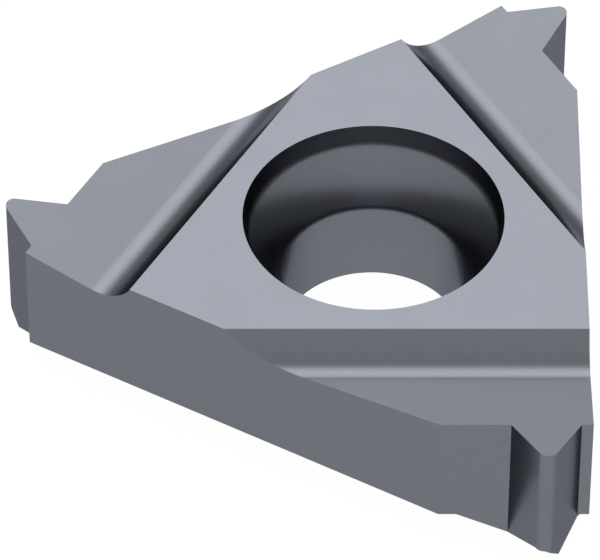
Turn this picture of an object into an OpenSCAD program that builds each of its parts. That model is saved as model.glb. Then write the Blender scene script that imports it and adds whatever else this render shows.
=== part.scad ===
// Thread turning insert
// A triangular lay-down insert of ground cemented carbide. Each corner carries one
// full-profile thread tooth, a raked land behind it and a ground chip groove across
// the corner. A screw passes down the middle and seats on the curved wall in the hole.
//
// Millimetres. The screw hole's axis is Z and the bottom face lies at z = 0.
// The first corner is drawn with its cutting edge towards -Y and its locating side
// face at +X. The other two corners are the same corner turned by 120 and 240 degrees.

/* [Body] */
// Diameter of the circle that touches the three side faces
inscribed_d = 9.525; // [9:0.005:13]
// Height from the bottom face to the top face
thickness = 3.87; // [3.4:0.01:5]
// Distance from the hole's axis to the flat shoulder of a corner
shoulder_y = 6.31; // [5.8:0.01:7]

/* [Thread tooth] */
// Angle between the tooth's two flanks
tooth_angle = 60; // [50:1:65]
// Width of the tooth where it leaves the shoulder
tooth_w = 1.545; // [1:0.005:2]
// Radius of the tooth's tip
tip_r = 0.22; // [0.05:0.01:0.3]
// Distance from the locating side face to the tooth's middle
tooth_inset = 1.03; // [1:0.01:1.6]

/* [Chip groove] */
// Slope of the land, which rises towards the tooth's tip
rake_angle = 10; // [5:0.5:14]
// Radius of the groove between the land and the top face
groove_r = 1; // [0.6:0.05:1.4]
// Distance from the hole's axis to the middle of the groove's arc
groove_y = 4.435; // [4.3:0.005:5]

/* [Seating pad] */
// Height of the side faces' lower edge above the bottom face
pad_h = 0.79; // [0.3:0.01:1.2]
// Width of the flat ledge under the side faces
ledge_w = 0.2; // [0.05:0.01:0.5]
// Slope of the pad's flanks, measured from the vertical
pad_slope = 45; // [20:1:50]

/* [Screw hole] */
// Diameter of the hole below the screw's head
bore_d = 4.14; // [3.6:0.01:4.6]
// Radius of the rounded edge between the bore and the seat
bore_round = 0.45; // [0.1:0.05:0.8]
// Radius of the seat's wall, which curves in towards the bore
seat_r = 5.5; // [3.5:0.1:8]
// Angle between the seat's walls at their upper end
seat_angle = 78; // [66:1:90]
// Radius of the corner between the seat and the steeper ring above it
seat_corner = 0.47; // [0.1:0.01:0.9]
// Diameter of the hole's mouth at the top face
mouth_d = 5.93; // [5.4:0.01:6.4]
// Depth of the ring's straight wall under the mouth
mouth_h = 0.39; // [0.2:0.01:0.8]
// Angle between the ring's walls
mouth_angle = 20; // [5:1:40]

/* [Hidden] */
// Straight steps in a full circle
$fn = 96;
// The turns that bring the first corner to each of the three
corner_turns = [0, 120, 240];
inscribed_r = inscribed_d / 2;
// How far a cutting shape runs past the faces that it cuts
over = 1;
// Length of a cutting shape that crosses the whole insert
cut_l = 4 * inscribed_r;

// Where the leading side face meets the shoulder
shoulder_x = (shoulder_y * sin(60) - inscribed_r) / cos(60);

// The tooth's middle, the middle of its tip's arc and the tip's distance from the hole's axis
flank = tooth_angle / 2;
tooth_x = inscribed_r - tooth_inset;
tip_y = shoulder_y + tooth_w / 2 / tan(flank) - tip_r / sin(flank);
reach = tip_y + tip_r;

// The groove's arc touches the land, and the land meets the top face's level at the tip
groove_z = groove_r / cos(rake_angle) - (reach - groove_y) * tan(rake_angle);
touch_y = groove_y + groove_r * sin(rake_angle);
touch_z = groove_z - groove_r * cos(rake_angle);

// The hole's section from the mouth down: the end of the ring's straight wall, the middle of
// the corner's arc, the seat's upper end and the middle of its arc, then for the rounded edge
// the angle at which it meets the seat and the middle of its arc
bore_r = bore_d / 2;
mouth_r = mouth_d / 2;
mouth_turn = mouth_angle / 2;
seat_turn = seat_angle / 2;
ring_end = [mouth_r - mouth_h * tan(mouth_turn), thickness - mouth_h];
corner_mid = ring_end + seat_corner * [-cos(mouth_turn), sin(mouth_turn)];
seat_top = corner_mid + seat_corner * [cos(seat_turn), -sin(seat_turn)];
seat_mid = seat_top + seat_r * [cos(seat_turn), -sin(seat_turn)];
edge_turn = acos((seat_mid.x - bore_r - bore_round) / (seat_r - bore_round));
edge_mid = seat_mid + (seat_r - bore_round) * [-cos(edge_turn), sin(edge_turn)];
// Straight steps in each of the section's three arcs
arc_steps = 8;

function turned(p, a) = [p.x * cos(a) - p.y * sin(a), p.x * sin(a) + p.y * cos(a)];

// An arc's points, without the last one, at which the next line begins
function arc(mid, r, from, to) = [
    for (i = [0:arc_steps - 1])
        let (a = from + (to - from) * i / arc_steps) mid + r * [cos(a), sin(a)]
];

// The three corners repeat whatever is drawn for the first
module at_each_corner() {
    for (turn = corner_turns) rotate(turn) children();
}

// A section in the YZ plane, drawn as [y, z] and drawn out along X
module along_x() {
    translate([-cut_l / 2, 0, 0]) rotate([90, 0, 90]) linear_extrude(cut_l) children();
}

// A section in the XZ plane, drawn as [x, z] and drawn out along Y
module along_y() {
    translate([0, cut_l / 2, 0]) rotate([90, 0, 0]) linear_extrude(cut_l) children();
}

// The triangle with its corners cut back to the shoulders
module plate_outline() {
    polygon([
        for (turn = corner_turns)
            for (p = [[shoulder_x, -shoulder_y], [inscribed_r, -shoulder_y]]) turned(p, turn)
    ]);
}

// One thread tooth: two straight flanks that run tangent into the round tip
module tooth_outline() {
    flank_x = tip_r * cos(flank);
    flank_y = tip_y + tip_r * sin(flank);
    polygon([
        [tooth_x - tooth_w / 2, -shoulder_y + over],
        [tooth_x - tooth_w / 2, -shoulder_y],
        [tooth_x - flank_x, -flank_y],
        [tooth_x + flank_x, -flank_y],
        [tooth_x + tooth_w / 2, -shoulder_y],
        [tooth_x + tooth_w / 2, -shoulder_y + over]
    ]);
    translate([tooth_x, -tip_y]) circle(tip_r);
}

module blank() {
    linear_extrude(thickness) {
        plate_outline();
        at_each_corner() tooth_outline();
    }
}

// What the grinding wheel leaves across a corner: the groove, then the sloping land
module chip_groove() {
    translate([0, 0, thickness]) along_x() {
        translate([-groove_y, groove_z]) circle(groove_r);
        far_y = reach + over;
        polygon([
            [-touch_y, touch_z],
            [-touch_y, over],
            [-far_y, over],
            [-far_y, touch_z + (far_y - touch_y) * tan(rake_angle)]
        ]);
    }
}

// What is cut away under one side face: the ledge and the pad's sloping flank
module pad_flank() {
    ledge_x = inscribed_r - ledge_w;
    along_y() polygon([
        [inscribed_r + over, pad_h],
        [ledge_x, pad_h],
        [ledge_x - (pad_h + over) * tan(pad_slope), -over],
        [inscribed_r + over, -over]
    ]);
}

// The screw's hole, from the bore up over the rounded edge and the seat to the mouth
module hole_section() {
    polygon(concat(
        [[0, -over], [bore_r, -over]],
        arc(edge_mid, bore_round, 180, 180 - edge_turn),
        arc(seat_mid, seat_r, 180 - edge_turn, 180 - seat_turn),
        arc(corner_mid, seat_corner, -seat_turn, -mouth_turn),
        [ring_end, [mouth_r + over * tan(mouth_turn), thickness + over], [0, thickness + over]]
    ));
}

module screw_hole() {
    rotate_extrude() hole_section();
}

module insert() {
    color([0.56, 0.58, 0.62]) difference() {
        blank();
        at_each_corner() {
            chip_groove();
            pad_flank();
        }
        screw_hole();
    }
}

insert();
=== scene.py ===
import math

import bmesh
import bpy
from mathutils import Matrix, Vector


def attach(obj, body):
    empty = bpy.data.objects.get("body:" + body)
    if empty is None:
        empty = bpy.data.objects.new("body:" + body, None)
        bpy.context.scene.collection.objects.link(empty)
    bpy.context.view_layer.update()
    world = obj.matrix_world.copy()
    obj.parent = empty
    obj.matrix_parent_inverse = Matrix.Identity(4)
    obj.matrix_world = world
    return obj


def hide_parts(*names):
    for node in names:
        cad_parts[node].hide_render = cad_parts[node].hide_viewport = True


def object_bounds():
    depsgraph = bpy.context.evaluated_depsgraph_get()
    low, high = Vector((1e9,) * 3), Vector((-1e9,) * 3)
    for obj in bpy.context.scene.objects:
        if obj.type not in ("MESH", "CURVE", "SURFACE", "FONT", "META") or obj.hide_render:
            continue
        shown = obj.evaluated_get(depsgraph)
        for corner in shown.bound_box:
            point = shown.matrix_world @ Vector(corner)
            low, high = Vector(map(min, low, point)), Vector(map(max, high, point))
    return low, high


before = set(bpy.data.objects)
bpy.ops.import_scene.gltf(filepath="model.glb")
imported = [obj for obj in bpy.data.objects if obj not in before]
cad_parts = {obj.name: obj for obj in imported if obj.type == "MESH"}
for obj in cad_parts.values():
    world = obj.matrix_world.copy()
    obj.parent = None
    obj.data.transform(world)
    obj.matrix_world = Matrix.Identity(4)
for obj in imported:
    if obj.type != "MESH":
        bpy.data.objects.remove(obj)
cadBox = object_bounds()
mm = 0.001  # sizes are written in millimetres, and Blender's are metres
corners = (0, 120, 240)  # the turns that bring the first corner to each of the three
print("frame loaded:", ", ".join(sorted(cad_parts)))


# Camera

cameraSettings = {
    "target": (-1.6625, -2.0353, 3.87),  # the point at the picture's middle, on the top face
    "distance": 128.1,
    "azimuth": 0,          # degrees, and 0 looks along +Y
    "elevation": 45.1,
    "lens": 343.7,         # long, as the picture's lines hardly converge
    "sensor": 36,
    "nearest": 10,         # nothing nearer or farther is drawn
    "farthest": 10000,
}


# The direction at an azimuth, counted from +X, and an elevation, both in degrees
def direction(azimuth, elevation):
    a, e = math.radians(azimuth), math.radians(elevation)
    return Vector((math.cos(a) * math.cos(e), math.sin(a) * math.cos(e), math.sin(e)))


def addCamera(settings):
    back = direction(settings["azimuth"] - 90, settings["elevation"])
    data = bpy.data.cameras.new("camera")
    data.sensor_width = settings["sensor"]
    data.lens = settings["lens"]
    data.clip_start = settings["nearest"] * mm
    data.clip_end = settings["farthest"] * mm
    camera = bpy.data.objects.new("camera", data)
    camera.location = (Vector(settings["target"]) + back * settings["distance"]) * mm
    camera.rotation_mode = "QUATERNION"
    camera.rotation_quaternion = (-back).to_track_quat("-Z", "Y")
    bpy.context.collection.objects.link(camera)
    bpy.context.scene.camera = camera


addCamera(cameraSettings)
print("camera placed")


# Materials

# An sRGB hex colour as linear red, green, blue and alpha
def linearColour(code):
    parts = [int(code[i:i + 2], 16) / 255 for i in (1, 3, 5)]
    return [p / 12.92 if p <= 0.04045 else ((p + 0.055) / 1.055) ** 2.4 for p in parts] + [1]


# Adds a node, sets its values and links its inputs
def node(tree, kind, settings=None, links=None):
    made = tree.nodes.new(kind)
    for key, value in (settings or {}).items():
        if isinstance(key, str) and hasattr(made, key):
            setattr(made, key, value)
        else:
            made.inputs[key].default_value = value
    for key, source in (links or {}).items():
        tree.links.new(source, made.inputs[key])
    return made


# A material with no nodes yet, and its node tree
def newMaterial(name):
    material = bpy.data.materials.new(name)
    material.use_nodes = True
    material.node_tree.nodes.clear()
    return material, material.node_tree


# Cemented carbide: grains of tungsten carbide in a cobalt binder, a dark, faintly blue grey metal.
# Its grains, marks and pits are too fine to show, so they are drawn larger, by the factor given.
carbide = {
    "colour": "#6F7279",
    "edgeTint": "#B3B4B7",     # its reflection dips where it is seen at a low angle
    "grain": 0.001,            # across one grain
    "enlarged": 40,
    "contrast": 0.03,          # between the grains
    "cloud": 1.2,              # across a patch that is a little duller or brighter
    "unevenness": 0.012,       # how far the roughness strays in such a patch
}

groundFinish = {
    "roughness": 0.228,
    "pitch": 0.01,             # from one grinding mark to the next
    "length": 1.6,             # of one mark, at its true size
    "depth": 0.00016,
    "enlarged": 5,
}

sinteredFinish = {
    "roughness": 0.26,
    "pit": 0.005,              # across one pit
    "depth": 0.0001,
    "enlarged": 10,
}
noiseSpan = (0.3, 0.7)  # nearly all values of a noise lie between these


# What both finishes share. The relief is a noise, as deep as the finish says.
def dressCarbide(tree, metal, finish, relief):
    place = node(tree, "ShaderNodeTexCoord").outputs["Object"]
    clouds = node(tree, "ShaderNodeTexNoise", {"Scale": 1 / (metal["cloud"] * mm)}, {"Vector": place})
    gloss = node(tree, "ShaderNodeMapRange", {
        "From Min": noiseSpan[0],
        "From Max": noiseSpan[1],
        "To Min": finish["roughness"] - metal["unevenness"],
        "To Max": finish["roughness"] + metal["unevenness"],
    }, {"Value": clouds.outputs["Fac"]})
    grains = node(tree, "ShaderNodeTexNoise", {
        "Scale": 1 / (metal["grain"] * metal["enlarged"] * mm),
    }, {"Vector": place})
    shade = node(tree, "ShaderNodeMapRange", {
        "From Min": noiseSpan[0],
        "From Max": noiseSpan[1],
        "To Min": 1 - metal["contrast"],
        "To Max": 1 + metal["contrast"],
    }, {"Value": grains.outputs["Fac"]})
    colour = node(tree, "ShaderNodeVectorMath", {
        "operation": "SCALE",
        0: linearColour(metal["colour"])[:3],
    }, {"Scale": shade.outputs[0]})
    bump = node(tree, "ShaderNodeBump", {
        "Distance": finish["depth"] * finish["enlarged"] * mm,
    }, {"Height": relief.outputs["Fac"]})
    shader = node(tree, "ShaderNodeBsdfPrincipled", {
        "Metallic": 1,
        "Specular Tint": linearColour(metal["edgeTint"]),
    }, {
        "Base Color": colour.outputs[0],
        "Roughness": gloss.outputs[0],
        "Normal": bump.outputs[0],
    })
    node(tree, "ShaderNodeOutputMaterial", {}, {"Surface": shader.outputs["BSDF"]})


# Ground with diamond wheels: fine straight marks give a satin sheen that blurs what it mirrors
def groundCarbide(metal, finish):
    material, tree = newMaterial("groundCarbide")
    place = node(tree, "ShaderNodeAttribute", {"attribute_name": "marks"})
    pitch = finish["pitch"] * finish["enlarged"]
    drawn = node(tree, "ShaderNodeVectorMath", {
        "operation": "DIVIDE",
        1: (finish["length"], pitch, pitch),
    }, {0: place.outputs["Vector"]})
    marks = node(tree, "ShaderNodeTexNoise", {"Scale": 1}, {"Vector": drawn.outputs[0]})
    dressCarbide(tree, metal, finish, marks)
    return material


# As it left the sintering furnace, inside the hole: the same grey, finely pitted and without marks
def sinteredCarbide(metal, finish):
    material, tree = newMaterial("sinteredCarbide")
    place = node(tree, "ShaderNodeTexCoord")
    pits = node(tree, "ShaderNodeTexNoise", {
        "Scale": 1 / (finish["pit"] * finish["enlarged"] * mm),
    }, {"Vector": place.outputs["Object"]})
    dressCarbide(tree, metal, finish, pits)
    return material


groundMetal = groundCarbide(carbide, groundFinish)
sinteredMetal = sinteredCarbide(carbide, sinteredFinish)
print("materials ready:", groundMetal.name, "and", sinteredMetal.name)


# The insert's form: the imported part's own sizes, with finer arcs and honed edges

insertShape = {
    "inscribedDiameter": 9.525,
    "thickness": 3.87,
    "shoulder": 6.31,          # from the hole's axis to the shoulder beside a tooth
    "toothAngle": 60,
    "toothWidth": 1.545,
    "tipRadius": 0.22,
    "toothInset": 1.03,        # from the locating side face to the tooth's middle
    "rakeAngle": 10,
    "grooveRadius": 1,
    "grooveMiddle": 4.435,     # from the hole's axis to the middle of the groove's arc
    "padHeight": 0.79,
    "ledgeWidth": 0.2,
    "padSlope": 45,
    "boreDiameter": 4.14,
    "boreRound": 0.45,         # radius of the edge between the seat and the bore
    "seatRadius": 5.5,         # the seat's wall curves in towards the bore
    "seatAngle": 78,           # between the seat's walls at their upper end
    "seatCorner": 0.47,        # radius of the corner between the seat and the mouth's ring
    "mouthDiameter": 5.93,
    "mouthDepth": 0.39,        # straight part of the steeper ring at the mouth
    "mouthAngle": 20,
    "hone": 0.006,             # how far the ground edges are rounded over
    "honeSteps": 2,            # faces across a honed edge
    "honedAbove": 25,          # an edge that turns by more degrees than this is honed
    "smoothBelow": 3.5,        # the shading runs on over an edge that turns by less than this
    "weld": 0.0001,            # two points that are nearer than this become one
    "arcStep": 0.75,           # most degrees from point to point round the hole, groove and seat
    "cornerStep": 1.5,         # the same for the seat's corner
    "edgeStep": 2.25,          # and for the bore's rounded edge
    "tipStep": 3,              # and for a tooth's tip
}
past = 1  # how far a cutting shape runs past the faces that it cuts


# The points of an arc, with its angles and the step between them in degrees
def arc(middle, radius, start, end, step):
    count = max(2, math.ceil(abs(end - start) / step))
    angles = [math.radians(start + (end - start) * i / count) for i in range(count + 1)]
    return [(middle[0] + radius * math.cos(a), middle[1] + radius * math.sin(a)) for a in angles]


# A new object with its faces turned outwards
def meshObject(name, bm):
    bmesh.ops.recalc_face_normals(bm, faces=bm.faces)
    mesh = bpy.data.meshes.new(name)
    bm.to_mesh(mesh)
    bm.free()
    made = bpy.data.objects.new(name, mesh)
    bpy.context.collection.objects.link(made)
    return made


# An outline drawn out to a solid: place turns each (a, b) into a point, for end 0 and end 1
def prism(name, outline, place):
    bm = bmesh.new()
    rings = [[bm.verts.new(place(a, b, end)) for a, b in outline] for end in (0, 1)]
    bm.faces.new(rings[0])
    bm.faces.new(rings[1])
    for i in range(len(outline)):
        j = (i + 1) % len(outline)
        bm.faces.new((rings[0][i], rings[0][j], rings[1][j], rings[1][i]))
    return meshObject(name, bm)


# A profile of (radius, height) points turned about the hole's axis
def turned(name, profile, count):
    bm = bmesh.new()
    angles = [2 * math.pi * i / count for i in range(count)]
    rings = [[bm.verts.new((r * math.cos(a), r * math.sin(a), z)) for a in angles] for r, z in profile]
    bm.faces.new(rings[0])
    bm.faces.new(rings[-1])
    for below, above in zip(rings, rings[1:]):
        for i in range(count):
            j = (i + 1) % count
            bm.faces.new((below[i], below[j], above[j], above[i]))
    return meshObject(name, bm)


# The plate seen from above, with a tooth at each corner, and how far the teeth reach
def insertOutline(shape):
    inscribed = shape["inscribedDiameter"] / 2
    flank = shape["toothAngle"] / 2
    half = shape["toothWidth"] / 2
    meet = math.radians(60)  # the angle between two side faces
    shoulderX = (shape["shoulder"] * math.sin(meet) - inscribed) / math.cos(meet)
    toothX = inscribed - shape["toothInset"]
    tipY = shape["shoulder"] + half / math.tan(math.radians(flank))
    tipY -= shape["tipRadius"] / math.sin(math.radians(flank))
    corner = [(shoulderX, -shape["shoulder"]), (toothX - half, -shape["shoulder"])]
    corner += arc((toothX, -tipY), shape["tipRadius"], 180 + flank, 360 - flank, shape["tipStep"])
    corner += [(toothX + half, -shape["shoulder"]), (inscribed, -shape["shoulder"])]
    points = []
    for turn in corners:
        cosine, sine = math.cos(math.radians(turn)), math.sin(math.radians(turn))
        points += [(x * cosine - y * sine, x * sine + y * cosine) for x, y in corner]
    return points, tipY + shape["tipRadius"]


# The grinding wheel's section: its round edge makes the groove, its flat side the land
def grooveOutline(shape, reach):
    rake = math.radians(shape["rakeAngle"])
    radius = shape["grooveRadius"]
    height = radius / math.cos(rake) - (reach - shape["grooveMiddle"]) * math.tan(rake)
    middle = (-shape["grooveMiddle"], height)
    points = arc(middle, radius, 0, -90 - shape["rakeAngle"], shape["arcStep"])
    touch = points[-1]
    far = -reach - past
    points += [(far, touch[1] + (touch[0] - far) * math.tan(rake)), (far, past), (points[0][0], past)]
    return [(y, z + shape["thickness"]) for y, z in points]


# What is missing under a side face: the ledge and the seating pad's sloping flank
def padOutline(shape):
    inscribed = shape["inscribedDiameter"] / 2
    ledge = inscribed - shape["ledgeWidth"]
    foot = ledge - (shape["padHeight"] + past) * math.tan(math.radians(shape["padSlope"]))
    wide = inscribed + past
    return [(wide, shape["padHeight"]), (ledge, shape["padHeight"]), (foot, -past), (wide, -past)]


# The screw's hole from below: the bore, its round edge, the curved seat and the mouth's ring
def holeProfile(shape):
    bore, mouth, rounding = shape["boreDiameter"] / 2, shape["mouthDiameter"] / 2, shape["boreRound"]
    steep, slope = math.radians(shape["mouthAngle"] / 2), math.radians(shape["seatAngle"] / 2)
    ringEnd = (mouth - shape["mouthDepth"] * math.tan(steep), shape["thickness"] - shape["mouthDepth"])
    inside = (
        ringEnd[0] - shape["seatCorner"] * math.cos(steep),
        ringEnd[1] + shape["seatCorner"] * math.sin(steep),
    )
    outside = (
        inside[0] + (shape["seatCorner"] + shape["seatRadius"]) * math.cos(slope),
        inside[1] - (shape["seatCorner"] + shape["seatRadius"]) * math.sin(slope),
    )
    lower = math.acos((outside[0] - bore - rounding) / (shape["seatRadius"] - rounding))
    edge = (bore + rounding, outside[1] + (shape["seatRadius"] - rounding) * math.sin(lower))
    seatEnd, seatTop, ringTurn = math.degrees(lower), shape["seatAngle"] / 2, shape["mouthAngle"] / 2
    profile = [(bore, -past)]
    profile += arc(edge, rounding, 180, 180 - seatEnd, shape["edgeStep"])
    profile += arc(outside, shape["seatRadius"], 180 - seatEnd, 180 - seatTop, shape["arcStep"])[1:]
    profile += arc(inside, shape["seatCorner"], -seatTop, -ringTurn, shape["cornerStep"])[1:]
    return profile + [(mouth + past * math.tan(steep), shape["thickness"] + past)]


# Puts the result of the object's modifiers into its mesh
def applied(made):
    graph = bpy.context.evaluated_depsgraph_get()
    mesh = bpy.data.meshes.new_from_object(made.evaluated_get(graph), depsgraph=graph)
    made.modifiers.clear()
    old = made.data
    made.data = mesh
    bpy.data.meshes.remove(old)


# Takes the cutter away from the object. The new faces keep the cutter's material, if it has one.
def cut(made, cutter):
    modifier = made.modifiers.new("cut", "BOOLEAN")
    modifier.operation = "DIFFERENCE"
    modifier.solver = "EXACT"
    modifier.material_mode = "TRANSFER"
    modifier.object = cutter
    applied(made)
    bpy.data.objects.remove(cutter)


# Rounds over the sharp edges
def hone(made, shape):
    edges = made.modifiers.new("hone", "BEVEL")
    edges.limit_method = "ANGLE"
    edges.angle_limit = math.radians(shape["honedAbove"])
    edges.offset_type = "OFFSET"
    edges.width = shape["hone"]
    edges.segments = shape["honeSteps"]
    applied(made)


# Honing leaves pairs of points that lie all but on each other: makes one point of each pair
def weld(made, shape):
    bm = bmesh.new()
    bm.from_mesh(made.data)
    bmesh.ops.dissolve_degenerate(bm, dist=shape["weld"], edges=bm.edges)
    bm.to_mesh(made.data)
    bm.free()


# The level share of a face's normal: more than the first is an upright face, less than the second
# a flat one
uprightAbove, flatBelow = 0.99, 0.0001


# Gives each point its place in millimetres, with the grinding marks along the first axis: from top
# to bottom on an upright face, level on a sloping one, and from side to side on the flat ones
def mapMarks(mesh):
    places = mesh.attributes.new("marks", "FLOAT_VECTOR", "CORNER")
    for face in mesh.polygons:
        slope = Vector((face.normal.x, face.normal.y, 0))
        along, side = Vector((1, 0, 0)), Vector((0, 0, 1))
        if slope.length > uprightAbove:
            along, side = side, along
        elif slope.length > flatBelow:
            along = slope.cross(side).normalized()
        turn = Matrix((along, side, along.cross(side)))
        for loop, vertex in zip(face.loop_indices, face.vertices):
            places.data[loop].vector = turn @ mesh.vertices[vertex].co


# The plate with its teeth, less a groove at each corner, a flank under each side face and the hole
def makeInsert(shape):
    outline, reach = insertOutline(shape)
    made = prism("carbide_insert", outline, lambda x, y, end: (x, y, end * shape["thickness"]))
    made.data.materials.append(groundMetal)
    length = 2 * shape["inscribedDiameter"]  # of a cutting shape, which passes both ends of a face
    wheel, pad = grooveOutline(shape, reach), padOutline(shape)
    for turn in corners:
        spin = Matrix.Rotation(math.radians(turn), 4, "Z")
        groove = prism("groove", wheel, lambda y, z, end: (length * (end - 0.5), y, z))
        flank = prism("flank", pad, lambda x, z, end: (x, length * (end - 0.5), z))
        for cutter in (groove, flank):
            cutter.data.transform(spin)
            cut(made, cutter)
    hole = turned("hole", holeProfile(shape), round(360 / shape["arcStep"]))
    hole.data.materials.append(sinteredMetal)
    cut(made, hole)
    hone(made, shape)
    weld(made, shape)
    mapMarks(made.data)
    made.data.transform(Matrix.Scale(mm, 4))
    made.data.shade_smooth()
    made.data.set_sharp_from_angle(angle=math.radians(shape["smoothBelow"]))
    return made


insert = makeInsert(insertShape)
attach(insert, "root")
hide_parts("insert")
print("insert made:", len(insert.data.vertices), "points,", len(insert.data.polygons), "faces")


# Floor and studio

floorSettings = {
    "radius": 1000,
    "sides": 96,
    "drop": 0.002,     # keeps the floor just clear of the seating pad
    "glow": 0.97,      # its own white, as the camera and the metal see it
    "colour": 0.06,    # the share that the light adds, and that the shadow takes away
    "bounce": 0.8,     # how pale it is to the light that it throws back
}

studioSettings = {
    "wall": 1.181,             # how bright it is, with 1 for white
    "darkness": 0.702,         # how much darker the wall is behind the insert
    "darkAzimuth": 90,         # degrees, as are the other azimuths and elevations
    "darkElevation": -18.4,
    "darkSpread": 1.443,       # radians
    "lamp": 1.95,              # the soft box behind the insert, which its top face mirrors
    "lampAzimuth": 91.7,
    "lampElevation": 45.0,
    "lampSize": 0.289,         # radians from its middle to where it fades
    "lampEdge": 1.69,          # above 1 the box is flatter in its middle and its edge is firmer
}


def floorMaterial(settings):
    material, tree = newMaterial("whiteFloor")
    path = node(tree, "ShaderNodeLightPath")
    seen = node(tree, "ShaderNodeMath", {"operation": "ADD"}, {
        0: path.outputs["Is Camera Ray"],
        1: path.outputs["Is Glossy Ray"],
    })
    through = node(tree, "ShaderNodeMath", {"operation": "ADD", "use_clamp": True}, {
        0: seen.outputs[0],
        1: path.outputs["Is Transmission Ray"],
    })
    glow = node(tree, "ShaderNodeEmission", {"Color": (1, 1, 1, 1), "Strength": settings["glow"]})
    shade = node(tree, "ShaderNodeBsdfDiffuse", {"Color": [settings["colour"]] * 3 + [1]})
    shown = node(tree, "ShaderNodeAddShader", {}, {0: glow.outputs[0], 1: shade.outputs[0]})
    plain = node(tree, "ShaderNodeBsdfDiffuse", {"Color": [settings["bounce"]] * 3 + [1]})
    both = node(tree, "ShaderNodeMixShader", {}, {
        0: through.outputs[0],
        1: plain.outputs[0],
        2: shown.outputs[0],
    })
    node(tree, "ShaderNodeOutputMaterial", {}, {"Surface": both.outputs[0]})
    return material


def addFloor(settings):
    bm = bmesh.new()
    radius = settings["radius"] * mm
    bmesh.ops.create_circle(bm, cap_ends=True, segments=settings["sides"], radius=radius)
    floor = meshObject("floor", bm)
    floor.location.z = cadBox[0].z - settings["drop"] * mm
    floor.data.materials.append(floorMaterial(settings))


# The room as the insert mirrors it: a pale wall, darker low behind, with one soft box
def addStudio(settings):
    world = bpy.data.worlds.new("studio")
    bpy.context.scene.world = world
    world.use_nodes = True
    tree = world.node_tree
    tree.nodes.clear()
    look = node(tree, "ShaderNodeTexCoord").outputs["Generated"]

    # The wall's darkness fades with the angle from its middle, as exp((cosine - 1) / spread ** 2)
    away = node(tree, "ShaderNodeVectorMath", {
        "operation": "DOT_PRODUCT",
        1: direction(settings["darkAzimuth"], settings["darkElevation"]),
    }, {0: look})
    near = node(tree, "ShaderNodeMath", {"operation": "SUBTRACT", 1: 1}, {0: away.outputs["Value"]})
    fade = node(tree, "ShaderNodeMath", {
        "operation": "DIVIDE",
        1: settings["darkSpread"] ** 2,
    }, {0: near.outputs[0]})
    dark = node(tree, "ShaderNodeMath", {"operation": "EXPONENT"}, {0: fade.outputs[0]})
    wall = node(tree, "ShaderNodeMath", {
        "operation": "MULTIPLY_ADD",
        1: -settings["darkness"],
        2: settings["wall"],
    }, {0: dark.outputs[0]})

    # The box fades as exp(-0.5 * (angle / size) ** (2 * edge)), with 2 - 2 * cosine for angle ** 2
    across = node(tree, "ShaderNodeVectorMath", {
        "operation": "DOT_PRODUCT",
        1: direction(settings["lampAzimuth"], settings["lampElevation"]),
    }, {0: look})
    squared = node(tree, "ShaderNodeMath", {
        "operation": "MULTIPLY_ADD",
        1: -2 / settings["lampSize"] ** 2,
        2: 2 / settings["lampSize"] ** 2,
    }, {0: across.outputs["Value"]})
    whole = node(tree, "ShaderNodeMath", {"operation": "MAXIMUM", 1: 0}, {0: squared.outputs[0]})
    edge = node(tree, "ShaderNodeMath", {
        "operation": "POWER",
        1: settings["lampEdge"],
    }, {0: whole.outputs[0]})
    half = node(tree, "ShaderNodeMath", {"operation": "MULTIPLY", 1: -0.5}, {0: edge.outputs[0]})
    box = node(tree, "ShaderNodeMath", {"operation": "EXPONENT"}, {0: half.outputs[0]})
    room = node(tree, "ShaderNodeMath", {
        "operation": "MULTIPLY_ADD",
        1: settings["lamp"],
    }, {0: box.outputs[0], 2: wall.outputs[0]})

    # The camera sees plain white in place of the room
    light = node(tree, "ShaderNodeBackground", {"Color": (1, 1, 1, 1)}, {"Strength": room.outputs[0]})
    white = node(tree, "ShaderNodeBackground", {"Color": (1, 1, 1, 1), "Strength": 1})
    path = node(tree, "ShaderNodeLightPath")
    both = node(tree, "ShaderNodeMixShader", {}, {
        0: path.outputs["Is Camera Ray"],
        1: light.outputs[0],
        2: white.outputs[0],
    })
    node(tree, "ShaderNodeOutputWorld", {}, {"Surface": both.outputs[0]})


addFloor(floorSettings)
addStudio(studioSettings)
bpy.context.scene.view_settings.view_transform = "Standard"
print("floor and studio lit")
